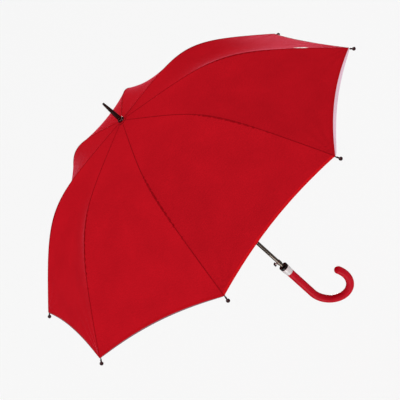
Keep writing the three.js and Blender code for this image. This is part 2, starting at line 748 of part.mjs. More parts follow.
function handleCollarGeometry() {
  const bore = SHAFT_RADIUS + RUNNING_GAP;
  return turned(
    [
      [bore, COLLAR_BOTTOM_Z],
      [COLLAR_BOTTOM_RADIUS, COLLAR_BOTTOM_Z],
      [COLLAR_TOP_RADIUS, COLLAR_TOP_Z],
      [bore, COLLAR_TOP_Z],
      [bore, COLLAR_BOTTOM_Z],
    ],
    LARGE_SIDES,
  );
}

// A shallow cup that the rib tips rest on when the umbrella is closed
function tipCupGeometry() {
  const bore = SHAFT_RADIUS + RUNNING_GAP;
  const bottom = COLLAR_TOP_Z + RUNNING_GAP;
  const floor = CUP_RIM_Z - CUP_DEPTH;
  return turned(
    [
      [bore, bottom],
      [CUP_RADIUS - CUP_WALL.foot, bottom],
      [CUP_RADIUS, CUP_RIM_Z],
      [CUP_RADIUS - CUP_WALL.rim, CUP_RIM_Z],
      [CUP_RADIUS - CUP_WALL.floor, floor],
      [bore, floor],
      [bore, bottom],
    ],
    LARGE_SIDES,
  );
}

// A ring round the shaft with a short guide tube that points away from the crook's mouth
function catchBracketGeometry() {
  const bore = SHAFT_RADIUS + RUNNING_GAP;
  const bottom = CATCH_Z - CATCH_RING.below;
  const top = CATCH_Z + CATCH_RING.above;
  const body = ring(bore, bore + CATCH_RING.wall, bottom, top, CATCH_RING_SIDES);
  const guideRadius = BUTTON_STEM_RADIUS + CATCH_GUIDE.wall;
  const guide = cylinderAlongX(guideRadius, CATCH_GUIDE.outer, CATCH_GUIDE.inner, SMALL_SIDES);
  const hole = cylinderAlongX(
    BUTTON_STEM_RADIUS + RUNNING_GAP,
    CATCH_GUIDE.outer - CUT_MARGIN,
    CATCH_GUIDE.inner + CUT_MARGIN,
    SMALL_SIDES,
  );
  const shaftRoom = ring(NEEDLE_RADIUS, bore, bottom - CUT_MARGIN, top + CUT_MARGIN, CATCH_RING_SIDES);
  return carve([body, guide.translate(0, 0, CATCH_Z)], [hole.translate(0, 0, CATCH_Z), shaftRoom]);
}

// A square cap with its outer edges bevelled, on a round stem
function pushButtonGeometry() {
  const innerFace = -BUTTON_CAP_INNER;
  const outerFace = innerFace - BUTTON_CAP_THICKNESS;
  const stem = cylinderAlongX(BUTTON_STEM_RADIUS, innerFace - BAR_OVERLAP, BUTTON_STEM_END, SMALL_SIDES);
  const size = BUTTON_CAP_SIZE;
  const cap = box(BUTTON_CAP_THICKNESS, size, size, (innerFace + outerFace) / 2, 0, CATCH_Z);
  const cuts = [];
  for (let side = 0; side < 4; side += 1) {
    const cutter = box(2 * BUTTON_CAP_BEVEL, 2 * size, 2 * BUTTON_CAP_BEVEL, 0, 0, 0).rotateY(Math.PI / 4);
    cutter.translate(0, 0, (size + BUTTON_CAP_BEVEL) / 2).rotateX((side * Math.PI) / 2);
    cuts.push(cutter.translate(outerFace - BUTTON_CAP_BEVEL / 2, 0, CATCH_Z));
  }
  return carve([stem.translate(0, 0, CATCH_Z), cap], cuts);
}

function addHandle() {
  addNode(umbrella, "tip_cup", tipCupGeometry(), darkPlastic());
  addNode(umbrella, "handle_collar", handleCollarGeometry(), chrome());
  addNode(umbrella, "handle_grip", handleGripGeometry(), leatherRed());
  addNode(umbrella, "catch_bracket", catchBracketGeometry(), chrome());
  addNode(umbrella, "push_button", pushButtonGeometry(), darkPlastic());
}

addSpokes();
addShaft();
addFerrule();
addHandle();

export default umbrella;
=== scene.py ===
"""Looks for the stick umbrella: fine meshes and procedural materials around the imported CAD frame.

Everything is in metres in the row frame: the origin is on the shaft's axis in the grip, +Z runs up to the
ferrule, +X points to the mouth of the crook. Ribs, gores and tips are made in a spoke frame (X outwards,
Y sideways, Z up) and turned to their rib's azimuth.
"""

import json
import math

import bmesh
import bpy
import numpy as np
from mathutils import Matrix, Vector


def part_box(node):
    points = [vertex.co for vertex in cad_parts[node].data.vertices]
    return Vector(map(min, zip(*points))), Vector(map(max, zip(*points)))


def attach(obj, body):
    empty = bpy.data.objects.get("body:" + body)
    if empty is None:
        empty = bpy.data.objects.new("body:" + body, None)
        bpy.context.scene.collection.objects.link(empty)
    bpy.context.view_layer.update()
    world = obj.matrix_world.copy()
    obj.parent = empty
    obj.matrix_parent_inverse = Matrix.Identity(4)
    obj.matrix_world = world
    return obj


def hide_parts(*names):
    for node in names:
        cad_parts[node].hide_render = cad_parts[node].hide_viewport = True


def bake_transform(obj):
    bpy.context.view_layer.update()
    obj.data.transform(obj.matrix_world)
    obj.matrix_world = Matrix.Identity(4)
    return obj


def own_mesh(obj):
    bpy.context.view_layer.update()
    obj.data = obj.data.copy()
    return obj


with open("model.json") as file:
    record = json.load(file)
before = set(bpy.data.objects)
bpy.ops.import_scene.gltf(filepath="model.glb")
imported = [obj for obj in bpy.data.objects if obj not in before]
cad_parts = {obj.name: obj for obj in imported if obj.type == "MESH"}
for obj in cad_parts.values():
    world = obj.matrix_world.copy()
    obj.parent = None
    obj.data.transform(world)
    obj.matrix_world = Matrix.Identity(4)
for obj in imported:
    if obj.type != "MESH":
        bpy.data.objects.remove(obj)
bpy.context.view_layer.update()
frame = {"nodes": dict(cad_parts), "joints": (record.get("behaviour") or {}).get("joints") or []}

MM = 0.001

# ---------------------------------------------------------------- sizes taken from the frame

JOINTS = {joint["name"]: joint for joint in frame["joints"]}
RIB_COUNT = sum(name.startswith("rib_fold_") for name in JOINTS)
RIB_STEP = 2 * math.pi / RIB_COUNT
NOTCH_PIVOT = JOINTS["rib_fold_1"]["pos_m"]
ELBOW_PIVOT = JOINTS["rib_flex_1"]["pos_m"]
RUNNER_PIVOT_Z = JOINTS["runner_slide"]["pos_m"][2]
FIRST_AZIMUTH = math.atan2(NOTCH_PIVOT[1], NOTCH_PIVOT[0])
ELBOW_RADIUS = math.hypot(ELBOW_PIVOT[0], ELBOW_PIVOT[1])
APEX_Z = NOTCH_PIVOT[2] + 8 * MM

# ---------------------------------------------------------------- the canopy's shape, as in the CAD

TOP_SLOPE = 0.124
EDGE_SLOPE = 1.02
BEND_RADIUS = 0.300
BEND_WIDTH = 0.047
CORNER_RADIUS = 0.516
TIP_RADIUS = 0.523
HOLE_RADIUS = 0.0062
EDGE_SCALLOP = 0.013
GORE_SAG = 0.016
CLOTH_THICKNESS = 0.35 * MM
HEM_WIDTH = 5 * MM

# Fold axes for the cloth: each half gore's axis is tilted from sideways into the umbrella
INNER_FOLD_TILT = math.radians(33)
OUTER_FOLD_TILT = math.radians(28)
INNER_FOLD_KEEP = 0.064
OUTER_FOLD_KEEP = 0.062

# The inner half of a gore runs on under the outer half, by more towards the gore's middle
LAP_AT_RIB = 4 * MM
LAP_SPREAD = 36 * MM
LAP_DEPTH = 0.7 * MM

# Rows of faces down each half gore
INNER_ROWS = 45
LAP_ROWS = 6
OUTER_ROWS = 47
HEM_ROWS = 4
TRIM_ROWS = 3

SCENE = bpy.context.scene


def spoke_azimuth(number):
    return FIRST_AZIMUTH + (number - 1) * RIB_STEP


# ---------------------------------------------------------------- camera

CAMERA_TARGET = Vector((-0.0140, -0.0088, 0.3897))
CAMERA_AZIMUTH = math.radians(32.84)
CAMERA_ELEVATION = math.radians(25.81)
CAMERA_ROLL = math.radians(48.04)
CAMERA_DISTANCE = 3.371
CAMERA_LENS = 120.3


def make_camera():
    data = bpy.data.cameras.new("camera")
    camera = bpy.data.objects.new("camera", data)
    SCENE.collection.objects.link(camera)
    away = Vector((
        math.sin(CAMERA_AZIMUTH) * math.cos(CAMERA_ELEVATION),
        -math.cos(CAMERA_AZIMUTH) * math.cos(CAMERA_ELEVATION),
        math.sin(CAMERA_ELEVATION),
    ))
    level = away.cross(Vector((0, 0, -1))).normalized()
    upright = away.cross(level)
    right = level * math.cos(CAMERA_ROLL) - upright * math.sin(CAMERA_ROLL)
    up = upright * math.cos(CAMERA_ROLL) + level * math.sin(CAMERA_ROLL)
    turn = Matrix((right, up, away)).transposed().to_4x4()
    camera.matrix_world = Matrix.Translation(CAMERA_TARGET + away * CAMERA_DISTANCE) @ turn
    data.lens = CAMERA_LENS
    data.sensor_width = 36
    data.clip_end = 100
    SCENE.camera = camera


make_camera()

# ---------------------------------------------------------------- node materials


def srgb(red, green, blue):
    """An 8-bit screen colour as a linear RGBA."""
    def linear(value):
        value /= 255
        return value / 12.92 if value <= 0.04045 else ((value + 0.055) / 1.055) ** 2.4
    return (linear(red), linear(green), linear(blue), 1)


class Nodes:
    """A material with a Principled shader, and short calls that add and link nodes."""

    def __init__(self, name, color, roughness=0.5, metallic=0.0, **inputs):
        self.material = bpy.data.materials.new(name)
        self.material.use_nodes = True
        self.tree = self.material.node_tree
        self.shader = self.tree.nodes["Principled BSDF"]
        self.shader.inputs["Base Color"].default_value = color
        self.shader.inputs["Roughness"].default_value = roughness
        self.shader.inputs["Metallic"].default_value = metallic
        for key, value in inputs.items():
            self.shader.inputs[key.replace("_", " ")].default_value = value
        self.height = None

    def add(self, kind, **settings):
        node = self.tree.nodes.new(kind)
        for key, value in settings.items():
            if key in node.inputs:
                node.inputs[key].default_value = value
            else:
                setattr(node, key, value)
        return node

    def link(self, source, target):
        self.tree.links.new(source, target)

    def coords(self, kind, scale):
        """Texture coordinates of one kind, scaled along X, Y and Z."""
        source = self.add("ShaderNodeTexCoord")
        mapping = self.add("ShaderNodeMapping")
        mapping.inputs["Scale"].default_value = scale
        self.link(source.outputs[kind], mapping.inputs["Vector"])
        return mapping.outputs["Vector"]

    def noise(self, vector, scale, detail=3.0, roughness=0.5):
        node = self.add("ShaderNodeTexNoise", Scale=scale, Detail=detail, Roughness=roughness)
        self.link(vector, node.inputs["Vector"])
        return node.outputs["Fac"]

    def math(self, operation, first, second=None, clamp=False):
        node = self.add("ShaderNodeMath", operation=operation, use_clamp=clamp)
        for index, value in enumerate((first, second)):
            if value is None:
                continue
            if isinstance(value, (int, float)):
                node.inputs[index].default_value = value
            else:
                self.link(value, node.inputs[index])
        return node.outputs["Value"]

    def ramp(self, factor, stops):
        node = self.add("ShaderNodeValToRGB")
        elements = node.color_ramp.elements
        while len(elements) < len(stops):
            elements.new(0.5)
        for element, (place, color) in zip(elements, stops):
            element.position = place
            element.color = color
        self.link(factor, node.inputs["Fac"])
        return node.outputs["Color"]

    def paint(self, factor, stops):
        self.link(self.ramp(factor, stops), self.shader.inputs["Base Color"])

    def rough(self, factor, low, high):
        node = self.add("ShaderNodeMapRange")
        node.inputs["To Min"].default_value = low
        node.inputs["To Max"].default_value = high
        self.link(factor, node.inputs["Value"])
        self.link(node.outputs["Result"], self.shader.inputs["Roughness"])

    def bump(self, height, distance, strength=1.0):
        node = self.add("ShaderNodeBump", Strength=strength, Distance=distance)
        self.link(height, node.inputs["Height"])
        previous = self.shader.inputs["Normal"]
        if previous.is_linked:
            self.link(previous.links[0].from_socket, node.inputs["Normal"])
        self.link(node.outputs["Normal"], previous)

    def band(self, direction, vector, scale, distortion=0.0):
        node = self.add("ShaderNodeTexWave", wave_type="BANDS", bands_direction=direction)
        node.inputs["Scale"].default_value = scale
        node.inputs["Distortion"].default_value = distortion
        self.link(vector, node.inputs["Vector"])
        return node.outputs["Fac"]


def shade(color, factor):
    """The colour darkened or lightened by a factor."""
    return (color[0] * factor, color[1] * factor, color[2] * factor, 1)


def woven(name, color, roughness, thread, sheen, uneven=0.12, specular=0.1):
    """Plain-woven cloth on UVs in metres: threads as bump, slubs and soft unevenness as colour."""
    m = Nodes(name, color, roughness, Sheen_Weight=sheen, Sheen_Roughness=0.15)
    m.shader.inputs["Sheen Tint"].default_value = (1.0, 0.2, 0.3, 1)
    m.shader.inputs["Specular IOR Level"].default_value = specular
    uv = m.coords("UV", (1, 1, 1))
    warp = m.band("X", uv, 1 / thread / 6.2832, 0.4)
    weft = m.band("Y", uv, 1 / thread / 6.2832, 0.4)
    weave = m.math("MULTIPLY", warp, weft)
    slub_map = m.coords("UV", (60, 900, 1))
    slub = m.noise(slub_map, 1.0, 2.0)
    cloud = m.noise(uv, 9.0, 4.0)
    grain = m.noise(uv, 420.0, 1.0)
    mixed = m.math("ADD", m.math("MULTIPLY", cloud, 0.3), m.math("MULTIPLY", slub, 0.25))
    mixed = m.math("ADD", mixed, m.math("MULTIPLY", grain, 0.45))
    m.paint(mixed, [(0.42, shade(color, 1 - uneven)), (0.58, shade(color, 1 + uneven))])
    m.rough(grain, roughness - 0.06, roughness + 0.06)
    m.bump(weave, 0.10 * MM, 0.35)
    m.bump(grain, 0.35 * MM, 0.3)
    m.bump(m.noise(uv, 26.0, 3.0), 1.6 * MM, 0.25)
    return m.material


def leather(name, color, roughness):
    """Fine-grained leatherette: small cells with creases between them, and painted shade that darkens the creases.
    """
    m = Nodes(name, color, roughness, Specular_IOR_Level=0.14)
    space = m.coords("Object", (1, 1, 1))
    cells = m.add("ShaderNodeTexVoronoi", feature="DISTANCE_TO_EDGE", Scale=1 / (1.1 * MM))
    m.link(space, cells.inputs["Vector"])
    crease = m.math("MINIMUM", cells.outputs["Distance"], 0.22)
    crease = m.math("MULTIPLY", crease, 4.5)
    cloud = m.noise(space, 45.0, 4.0)
    # painted shade: the colour is darker in the creases, mixed with a random cloudy tone
    tone = m.math("ADD", m.math("MULTIPLY", crease, 0.45), m.math("MULTIPLY", cloud, 0.55))
    m.paint(tone, [(0.25, shade(color, 0.72)), (0.75, shade(color, 1.12))])
    m.rough(cloud, roughness - 0.05, roughness + 0.08)
    m.bump(crease, 0.06 * MM, 0.25)
    m.bump(m.noise(space, 160.0, 2.0), 0.2 * MM, 0.1)
    return m.material


def plastic(name, color, roughness, mottle=0.1):
    """Moulded plastic: a faint skin texture, slight colour drift and rubbed patches."""
    m = Nodes(name, color, roughness, Specular_IOR_Level=0.5)
    space = m.coords("Object", (1, 1, 1))
    cloud = m.noise(space, 120.0, 3.0)
    m.paint(cloud, [(0.3, shade(color, 1 - mottle)), (0.7, shade(color, 1 + mottle))])
    m.rough(m.noise(space, 420.0, 2.0), roughness - 0.05, roughness + 0.1)
    m.bump(m.noise(space, 2600.0, 2.0), 0.03 * MM, 0.4)
    return m.material


def metal(name, color, roughness, along=(1, 1, 0.03), drift=0.12, metallic=1.0):
    """Drawn or plated metal: fine streaks along the piece, cloudy tone and rubbed roughness."""
    m = Nodes(name, color, roughness, metallic)
    streak_map = m.coords("Object", along)
    streak = m.noise(streak_map, 2400.0, 2.0)
    cloud = m.noise(m.coords("Object", (1, 1, 1)), 70.0, 4.0)
    tone = m.math("ADD", m.math("MULTIPLY", streak, 0.5), m.math("MULTIPLY", cloud, 0.5))
    m.paint(tone, [(0.3, shade(color, 1 - drift)), (0.7, shade(color, 1 + drift))])
    m.rough(tone, roughness - 0.06, roughness + 0.08)
    m.bump(streak, 0.02 * MM, 0.35)
    return m.material


def grained_wood(name, color, roughness):
    """Dark polished wood: fine grain along Z, fine rings across."""
    m = Nodes(name, color, roughness, Specular_IOR_Level=0.4)
    grain = m.noise(m.coords("Object", (1, 1, 0.06)), 900.0, 5.0)
    rings = m.noise(m.coords("Object", (0.1, 0.1, 1)), 1100.0, 2.0)
    tone = m.math("ADD", m.math("MULTIPLY", grain, 0.7), m.math("MULTIPLY", rings, 0.3))
    m.paint(tone, [(0.3, shade(color, 0.5)), (0.7, shade(color, 1.7))])
    m.rough(grain, roughness - 0.05, roughness + 0.1)
    m.bump(tone, 0.06 * MM, 0.5)
    return m.material


CANOPY_RED = srgb(185, 18, 30)
CANOPY = woven("canopy_pongee", CANOPY_RED, 0.8, 0.55 * MM, 1.0, 0.11, 0.0)
CANOPY_HEM = woven("canopy_hem", srgb(182, 9, 22), 0.8, 0.55 * MM, 0.03, 0.12, 0.04)
# Painted light: a brighter, more saturated red hem that stands for light shining through the cloth at the edge
BACKLIGHT_GLOW_HEM = woven("canopy_hem_painted_backlight_glow", srgb(206, 16, 26), 0.8, 0.55 * MM, 0.03, 0.1, 0.04)
SEAM_TAPE = woven("seam_tape", srgb(150, 5, 17), 0.8, 0.5 * MM, 0.02, 0.12, 0.03)
THREAD = woven("sewing_thread", srgb(132, 3, 13), 0.7, 0.2 * MM, 0.03, 0.12, 0.05)
PALE_TRIM = woven("pale_edge_trim", srgb(236, 200, 216), 0.6, 0.5 * MM, 0.1, 0.1, 0.1)
GREY_TRIM = woven("grey_edge_trim", srgb(134, 100, 110), 0.6, 0.5 * MM, 0.1, 0.15, 0.1)
LABEL = woven("blank_label", srgb(240, 220, 220), 0.6, 0.35 * MM, 0.1, 0.08, 0.1)
LEATHER = leather("red_leatherette", srgb(214, 5, 36), 0.3)
LEATHER_SEAM = leather("leatherette_seam", srgb(132, 4, 18), 0.5)
BLACK_PLASTIC = plastic("black_plastic", srgb(22, 19, 19), 0.3)
BUTTON_PLASTIC = plastic("button_plastic", srgb(34, 14, 14), 0.3)
TIP_PLASTIC = plastic("tip_plastic", srgb(54, 10, 16), 0.3)
CAP_PLASTIC = plastic("cap_plastic", srgb(64, 6, 10), 0.16)
FIBREGLASS = plastic("fibreglass", srgb(30, 30, 33), 0.35)
SHAFT_METAL = metal("gunmetal_tube", srgb(170, 156, 144), 0.34)
RIB_STEEL = metal("rib_steel", srgb(150, 150, 152), 0.32, (1, 1, 1))
CHROME = metal("bright_plating", srgb(252, 248, 248), 0.3, (1, 1, 1), 0.04, 0.2)
SPRING_STEEL = metal("spring_steel", srgb(120, 118, 116), 0.3, (1, 1, 1))
FERRULE_WOOD = grained_wood("ferrule_wood", srgb(40, 5, 4), 0.35)

# ---------------------------------------------------------------- mesh helpers


def add_object(name, points, faces, materials, face_slots=None, sharp=math.radians(40)):
    """A smooth-shaded mesh object in the scene, sharp only where faces meet at more than the given angle."""
    mesh = bpy.data.meshes.new(name)
    mesh.from_pydata([tuple(map(float, p)) for p in points], [], faces)
    for material in materials:
        mesh.materials.append(material)
    mesh.shade_smooth()
    if face_slots is not None:
        mesh.polygons.foreach_set("material_index", face_slots)
    if sharp is not None:
        mesh.set_sharp_from_angle(angle=sharp)
    mesh.update()
    thing = bpy.data.objects.new(name, mesh)
    SCENE.collection.objects.link(thing)
    return thing


def spoke_to_row(points, azimuth):
    """Points in the spoke frame turned to an azimuth of the row frame."""
    c, s = math.cos(azimuth), math.sin(azimuth)
    points = np.asarray(points, float)
    out = points.copy()
    out[..., 0] = points[..., 0] * c - points[..., 1] * s
    out[..., 1] = points[..., 0] * s + points[..., 1] * c
    return out


def row_vector(vector, azimuth):
    return Vector(spoke_to_row(np.array(vector, float), azimuth))


def grid_normals(points):
    """Unit normals of a grid of points, from its own differences."""
    down = np.gradient(points, axis=0)
    across = np.gradient(points, axis=1)
    normals = np.cross(down, across)
    lengths = np.linalg.norm(normals, axis=2, keepdims=True)
    return normals / np.maximum(lengths, 1e-12)


def sheet_mesh(name, points, uv, thickness, materials, row_slots=None, normals=None):
    """A thin closed sheet over a grid of points, its normals taken from the grid so that neighbours match.

    points is rows x columns x 3, its outer side along the grid's normals; row_slots gives each row of faces
    its material.
    """
    rows, columns, _ = points.shape
    if normals is None:
        normals = grid_normals(points)
    outer = points.reshape(-1, 3)
    inner = (points - normals * thickness).reshape(-1, 3)
    count = rows * columns
    row, column = np.meshgrid(np.arange(rows - 1), np.arange(columns - 1), indexing="ij")
    first = (row * columns + column).reshape(-1)
    quads = np.stack([first, first + columns, first + columns + 1, first + 1], 1)
    under = quads[:, ::-1] + count
    ring = [(0, c) for c in range(columns - 1)]
    ring += [(r, columns - 1) for r in range(rows - 1)]
    ring += [(rows - 1, c) for c in range(columns - 1, 0, -1)]
    ring += [(r, 0) for r in range(rows - 1, 0, -1)]
    loop = [r * columns + c for r, c in ring]
    edges = [(a, b, b + count, a + count) for a, b in zip(loop, loop[1:] + loop[:1])]
    faces = [tuple(map(int, q)) for q in quads] + [tuple(map(int, q)) for q in under] + edges
    slots = np.zeros(len(faces), np.int32)
    if row_slots is not None:
        per_face = np.repeat(np.asarray(row_slots, np.int32), columns - 1)
        slots[: len(per_face)] = per_face
        slots[len(per_face): 2 * len(per_face)] = per_face
        slots[2 * len(per_face):] = row_slots[-1]
    sheet = add_object(name, np.concatenate([outer, inner]), faces, materials, slots, None)
    layer = sheet.data.uv_layers.new(name="UVMap")
    corners = np.zeros(len(sheet.data.loops), np.int32)
    sheet.data.loops.foreach_get("vertex_index", corners)
    flat_uv = uv.reshape(-1, 2)[corners % count]
    layer.data.foreach_set("uv", flat_uv.astype(np.float32).reshape(-1))
    both = np.concatenate([normals.reshape(-1, 3), -normals.reshape(-1, 3)])
    sheet.data.normals_split_custom_set_from_vertices([tuple(n) for n in both])
    return sheet


def turned(name, outline, segments, material, center=(0, 0, 0), sharp=math.radians(35)):
    """A piece turned about Z from [radius, z] points. It closes on the axis or on its own first point."""
    rings, points = [], []
    for radius, height in outline:
        if radius < 1e-9:
            rings.append([len(points)])
            points.append((0, 0, height))
            continue
        rings.append(list(range(len(points), len(points) + segments)))
        for step in range(segments):
            angle = 2 * math.pi * step / segments
            points.append((radius * math.cos(angle), radius * math.sin(angle), height))
    pairs = list(zip(rings, rings[1:]))
    if len(rings[0]) > 1:
        pairs.append((rings[-1], rings[0]))
    faces = []
    for low, high in pairs:
        for step in range(segments):
            follow = (step + 1) % segments
            if len(low) == 1:
                faces.append((low[0], high[follow], high[step]))
            elif len(high) == 1:
                faces.append((low[step], low[follow], high[0]))
            else:
                faces.append((low[step], low[follow], high[follow], high[step]))
    shifted = [Vector(p) + Vector(center) for p in points]
    return add_object(name, shifted, faces, [material], None, sharp)


def arc(radius, height, size, start, end, steps):
    """Points of an arc in the [radius, z] plane, angles in degrees from outwards, anticlockwise."""
    angles = np.radians(np.linspace(start, end, steps + 1))
    return [(radius + size * math.cos(a), height + size * math.sin(a)) for a in angles]


def tube_along(line, radii, sides, up, close=True):
    """Points and faces of a tube along a line of points, with one radius per point."""
    line = np.asarray(line, float)
    tangents = np.gradient(line, axis=0)
    tangents /= np.linalg.norm(tangents, axis=1, keepdims=True)
    up = np.broadcast_to(np.asarray(up, float), line.shape)
    side = np.cross(tangents, up)
    side /= np.linalg.norm(side, axis=1, keepdims=True)
    normal = np.cross(side, tangents)
    points, faces = [], []
    for center, s, n, radius in zip(line, side, normal, radii):
        for step in range(sides):
            angle = 2 * math.pi * step / sides
            points.append(center + radius * (math.cos(angle) * s + math.sin(angle) * n))
    for ring in range(len(line) - 1):
        for step in range(sides):
            follow = (step + 1) % sides
            a, b = ring * sides, (ring + 1) * sides
            faces.append((a + step, a + follow, b + follow, b + step))
    if close:
        faces.append(tuple(reversed(range(sides))))
        faces.append(tuple(range((len(line) - 1) * sides, len(line) * sides)))
    return points, faces


def face_out(thing):
    """Turns a closed mesh's faces so that they all point out."""
    work = bmesh.new()
    work.from_mesh(thing.data)
    bmesh.ops.recalc_face_normals(work, faces=work.faces)
    work.to_mesh(thing.data)
    work.free()
    return thing


# ---------------------------------------------------------------- canopy


def canopy_drop(radius):
    bend = np.log1p(np.exp((radius - BEND_RADIUS) / BEND_WIDTH))
    at_apex = math.log1p(math.exp(-BEND_RADIUS / BEND_WIDTH))
    return TOP_SLOPE * radius + (EDGE_SLOPE - TOP_SLOPE) * BEND_WIDTH * (bend - at_apex)


def canopy_slope(radius):
    return TOP_SLOPE + (EDGE_SLOPE - TOP_SLOPE) / (1 + np.exp(-(radius - BEND_RADIUS) / BEND_WIDTH))


def gore_point(radius, share, side):
    """A point of the taut gore: share 0 is on the rib at azimuth 0, share 0.5 is the gore's middle line."""
    near = (1 - share) + share * math.cos(RIB_STEP)
    x = radius * near
    y = radius * share * math.sin(RIB_STEP)
    z = -canopy_drop(radius)
    slope = canopy_slope(radius)
    lean = np.sqrt(1 + slope ** 2)
    bend = 1 / (1 + np.exp(-(radius - BEND_RADIUS) / BEND_WIDTH))
    across = 4 * share * (1 - share)
    sag = GORE_SAG * 4 * bend * (1 - bend) * across
    half = RIB_STEP / 2
    # pucker: short ripples where the seam's stitching gathers the cloth, and pulls that fan out from the tips
    from_seam = y
    ripple = 0.45 * MM * np.sin(2 * math.pi * radius / (13 * MM)) * np.exp(-from_seam / (9 * MM))
    ripple = ripple * np.clip(from_seam / (3 * MM), 0, 1)
    from_tip = (CORNER_RADIUS - radius) * 1.4
    fan = np.arctan2(y, np.maximum(from_tip, 1 * MM))
    pull = 1.1 * MM * np.sin(fan * 16) * np.exp(-from_tip / (70 * MM)) * np.clip(from_tip / (25 * MM), 0, 1)
    pull = pull * np.clip(y / (12 * MM), 0, 1) * (1 - across) ** 0.5
    shift = ripple + pull - sag
    x = x + shift * slope / lean * math.cos(half)
    y = y + shift * slope / lean * math.sin(half)
    z = z + shift / lean
    return np.stack([x, y * side, z + APEX_Z], -1)


# How far the tape on the hem shows below each gore's edge at its middle, and which tape it is. The gores with none
# have no tape, and their hem is painted a brighter, more saturated red instead: a painted glow of light shining
# through the cloth.
TRIM_WIDTH = {8: 5.5 * MM, 7: 0}
USUAL_TRIM_WIDTH = 1.8 * MM


def edge_radius(share):
    return CORNER_RADIUS - EDGE_SCALLOP * 4 * share * (1 - share)


def split_radius(share):
    """The radius at which the line through the elbow, square to the rib, crosses the gore."""
    return ELBOW_RADIUS / ((1 - share) + share * math.cos(RIB_STEP))


def half_gore(number, side, outer):
    """One half gore, inside or outside the elbow line, riding on its rib."""
    part = "outer" if outer else "inner"
    hand = "left" if side > 0 else "right"
    gore = number if side > 0 else (number - 2) % RIB_COUNT + 1
    columns = 25
    share = np.linspace(0, 0.5, columns)[None, :] ** 1.15 * 0.5 ** (1 - 1.15)
    hem = CANOPY_HEM
    if outer:
        trim_width = TRIM_WIDTH.get(gore, USUAL_TRIM_WIDTH)
        start = split_radius(share)
        edge = edge_radius(share)
        across = 4 * share * (1 - share)
        main = np.linspace(0, 1, OUTER_ROWS + 1)[:, None] * (edge - HEM_WIDTH - start) + start
        fold = edge - HEM_WIDTH + np.linspace(0, 1, HEM_ROWS + 1)[1:, None] * HEM_WIDTH
        parts = [main, fold]
        row_slots = [0] * OUTER_ROWS + [1] * HEM_ROWS
        if trim_width:
            trim_step = np.linspace(0, 1, TRIM_ROWS + 1)[1:, None]
            parts.append(edge + trim_step * trim_width * across ** 0.35)
            row_slots += [2] * TRIM_ROWS
        else:
            # painted glow of light through the cloth on this gore's hem
            hem = BACKLIGHT_GLOW_HEM
        radius = np.concatenate(parts)
    else:
        split = split_radius(share)
        main = HOLE_RADIUS + (split - HOLE_RADIUS) * np.linspace(0, 1, INNER_ROWS + 1)[:, None]
        lap = split + np.linspace(0.1, 1, LAP_ROWS)[:, None] * (LAP_AT_RIB + LAP_SPREAD * share)
        radius = np.concatenate([main, lap])
        row_slots = [0] * (INNER_ROWS + LAP_ROWS)
    share = np.broadcast_to(share, radius.shape)
    local = gore_point(radius, share, side)
    normals = gore_normals(radius, share, side)
    if not outer:
        local[-LAP_ROWS:] -= normals[-LAP_ROWS:] * LAP_DEPTH
    width = radius * share * 2 * math.sin(RIB_STEP / 2)
    length = np.interp(radius, RADIUS_TABLE, ARC_TABLE)
    uv = np.stack([width, length], -1)
    azimuth = spoke_azimuth(number)
    points = spoke_to_row(local, azimuth)
    turned_normals = spoke_to_row(normals, azimuth)
    if side < 0:
        points, uv, turned_normals = points[:, ::-1], uv[:, ::-1], turned_normals[:, ::-1]
    name = f"canopy_{part}_{number}_{hand}"
    trim = PALE_TRIM if gore == 8 else GREY_TRIM
    sheet = sheet_mesh(name, points, uv, CLOTH_THICKNESS, [CANOPY, hem, trim], row_slots, turned_normals)
    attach(sheet, f"{part}_rib_{number}")
    fold_with_rib(sheet, azimuth, side, outer)
    if not outer and side > 0:
        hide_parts(f"canopy_panel_{number}")
    return sheet


def gore_normals(radius, share, side):
    """The cloth's outward normals, from small steps on its formula, the same on both sides of every join."""
    step = 0.2 * MM
    share_step = 1e-4
    down = gore_point(radius + step, share, side) - gore_point(radius - step, share, side)
    across = gore_point(radius, share + share_step, side) - gore_point(radius, share - share_step, side)
    normals = np.cross(down, across) * side
    return normals / np.linalg.norm(normals, axis=-1, keepdims=True)


def fold_with_rib(piece, azimuth, side, outer):
    """Works out the axis, tilted from sideways, and the anchor about which the half gore would collapse into a
    pleat standing out from its rib as the umbrella closes, and gives the piece its own mesh. It does not fold the
    piece.
    """
    if outer:
        inner_end, outer_end = ELBOW_RADIUS, CORNER_RADIUS
        tilt, keep = OUTER_FOLD_TILT, OUTER_FOLD_KEEP
    else:
        inner_end, outer_end = 12 * MM, ELBOW_RADIUS
        tilt, keep = INNER_FOLD_TILT, INNER_FOLD_KEEP
    start = np.array([inner_end, 0, APEX_Z - canopy_drop(inner_end)])
    end = np.array([outer_end, 0, APEX_Z - canopy_drop(outer_end)])
    along = (end - start) / np.linalg.norm(end - start)
    outward = np.array([-along[2], 0, along[0]])
    sideways = np.array([0, side, 0])
    axis = math.cos(tilt) * sideways - math.sin(tilt) * outward
    middle_radius = (inner_end + outer_end) / 2
    middle = np.array([middle_radius, 0, APEX_Z - canopy_drop(middle_radius)])
    anchor = ((start + end) / 2 + middle) / 2
    row_vector(axis, azimuth)
    row_vector(anchor, azimuth)
    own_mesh(piece)


RADIUS_TABLE = np.linspace(0, 0.56, 400)
ARC_TABLE = np.concatenate([[0], np.cumsum(np.hypot(np.diff(RADIUS_TABLE), np.diff(canopy_drop(RADIUS_TABLE))))])


